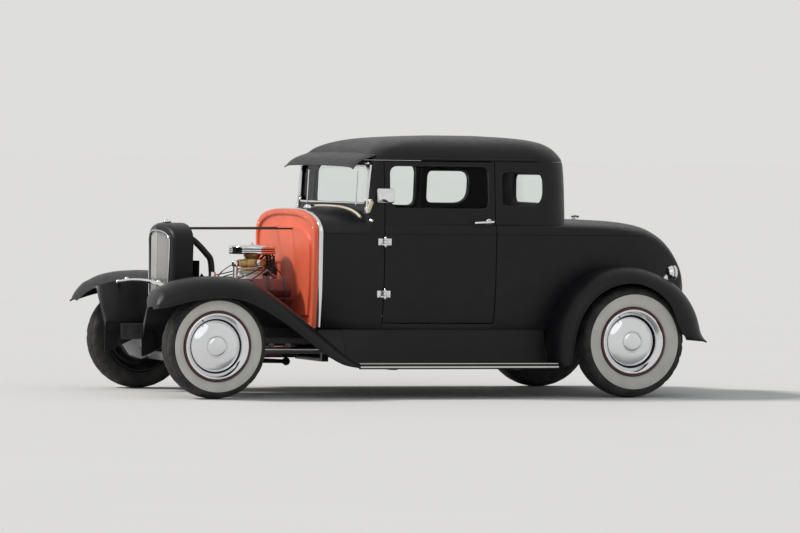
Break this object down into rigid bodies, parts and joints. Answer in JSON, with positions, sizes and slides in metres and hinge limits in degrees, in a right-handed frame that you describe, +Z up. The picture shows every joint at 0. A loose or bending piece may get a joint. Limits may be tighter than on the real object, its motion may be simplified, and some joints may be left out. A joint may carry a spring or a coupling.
{
  "type": "hot rod coupe",
  "caption": "Chopped two-seat coupe hot rod with an open engine, tall grille, full fenders, running boards and whitewall tyres.",
  "frame": {"origin": "on the ground under the middle of the whole car", "axes": "-Y towards the nose, +X towards the driver's side, +Z up"},
  "size_m": [1.71, 3.529, 1.555],
  "materials": {
    "body_paint": "satin black",
    "frame_paint": "semi-gloss black",
    "firewall_paint": "gloss coral",
    "chrome": "polished",
    "steel": "bare",
    "cast": "painted dark red",
    "tyre": "black with pale side walls",
    "rubber": "black",
    "glass": "clear",
    "leather": "brown",
    "lamp": "red"
  },
  "bodies": {
    "car": {"cowl": "body_paint", "body_rear": "body_paint", "roof": "body_paint", "windshield_glass": "glass", "back_glass": "glass", "quarter_glass_left": "glass", "quarter_glass_right": "glass", "front_fender_left": "body_paint", "front_fender_right": "body_paint", "rear_fender_left": "body_paint", "rear_fender_right": "body_paint", "tail_lamp_left": "lamp", "tail_lamp_right": "lamp", "running_board_left": "body_paint", "running_board_right": "body_paint", "chassis_frame": "frame_paint", "engine_block": "cast", "gearbox": "steel", "intake_carburettor": "steel", "air_cleaner": "chrome", "distributor": "rubber", "fan_pulleys": "steel", "header_pipe_left": "steel", "header_pipe_right": "steel", "front_axle": "steel", "front_spring": "steel", "wishbone": "steel", "rear_axle": "cast", "rear_spring": "steel", "grille_shell": "body_paint", "grille_insert": "chrome", "radiator": "steel", "radiator_hose": "rubber", "firewall": "firewall_paint", "cowl_band": "chrome", "filler_cap": "chrome", "visor": "body_paint", "floor": "frame_paint", "seat_cushion": "leather", "seat_back": "leather", "dashboard": "body_paint", "steering_wheel": "frame_paint", "headlight_bar": "chrome", "side_mirror": "chrome"},
    "door_left": {"door_left": "body_paint", "door_glass_left": "glass"},
    "door_right": {"door_right": "body_paint", "door_glass_right": "glass"},
    "deck_lid": {"deck_lid": "body_paint"},
    "steer_left": {"knuckle_left": "steel"},
    "steer_right": {"knuckle_right": "steel"},
    "tie_rod": {"tie_rod": "steel"},
    "wheel_front_left": {"tyre_front_left": "tyre", "wheel_front_left": "chrome"},
    "wheel_front_right": {"tyre_front_right": "tyre", "wheel_front_right": "chrome"},
    "wheel_rear_left": {"tyre_rear_left": "tyre", "wheel_rear_left": "chrome"},
    "wheel_rear_right": {"tyre_rear_right": "tyre", "wheel_rear_right": "chrome"}
  },
  "joints": [
    {"name": "steering_left", "type": "hinge", "parent": "car", "child": "steer_left", "pos_m": [0.59, -1.3645, 0.308], "axis": [0, 0, 1], "range_deg": [-28, 28]},
    {"name": "steering_right", "type": "hinge", "parent": "car", "child": "steer_right", "pos_m": [-0.59, -1.3645, 0.308], "axis": [0, 0, 1], "range_deg": [-28, 28]},
    {"name": "tie_rod_swing", "type": "hinge", "parent": "steer_left", "child": "tie_rod", "pos_m": [0.59, -1.2145, 0.2434], "axis": [0, 0, 1], "range_deg": [-28, 28]},
    {"name": "door_left_hinge", "type": "hinge", "parent": "car", "child": "door_left", "pos_m": [0.65722, -0.2795, 0.92247], "axis": [0, 0, -1], "range_deg": [0, 65]},
    {"name": "door_right_hinge", "type": "hinge", "parent": "car", "child": "door_right", "pos_m": [-0.65722, -0.2795, 0.92247], "axis": [0, 0, 1], "range_deg": [0, 65]},
    {"name": "deck_lid_hinge", "type": "hinge", "parent": "car", "child": "deck_lid", "pos_m": [0, 1.6895, 0.89102], "axis": [-1, 0, 0], "range_deg": [0, 60]},
    {"name": "wheel_front_left_spin", "type": "hinge", "parent": "steer_left", "child": "wheel_front_left", "pos_m": [0.71, -1.3645, 0.308], "axis": [1, 0, 0], "continuous": true},
    {"name": "wheel_front_right_spin", "type": "hinge", "parent": "steer_right", "child": "wheel_front_right", "pos_m": [-0.71, -1.3645, 0.308], "axis": [1, 0, 0], "continuous": true},
    {"name": "wheel_rear_left_spin", "type": "hinge", "parent": "car", "child": "wheel_rear_left", "pos_m": [0.72, 1.2645, 0.336], "axis": [1, 0, 0], "continuous": true},
    {"name": "wheel_rear_right_spin", "type": "hinge", "parent": "car", "child": "wheel_rear_right", "pos_m": [-0.72, 1.2645, 0.336], "axis": [1, 0, 0], "continuous": true}
  ],
  "couplings": [
    {"joint": "steering_right", "follows": "steering_left", "ratio": 1},
    {"joint": "tie_rod_swing", "follows": "steering_left", "ratio": -1}
  ]
}
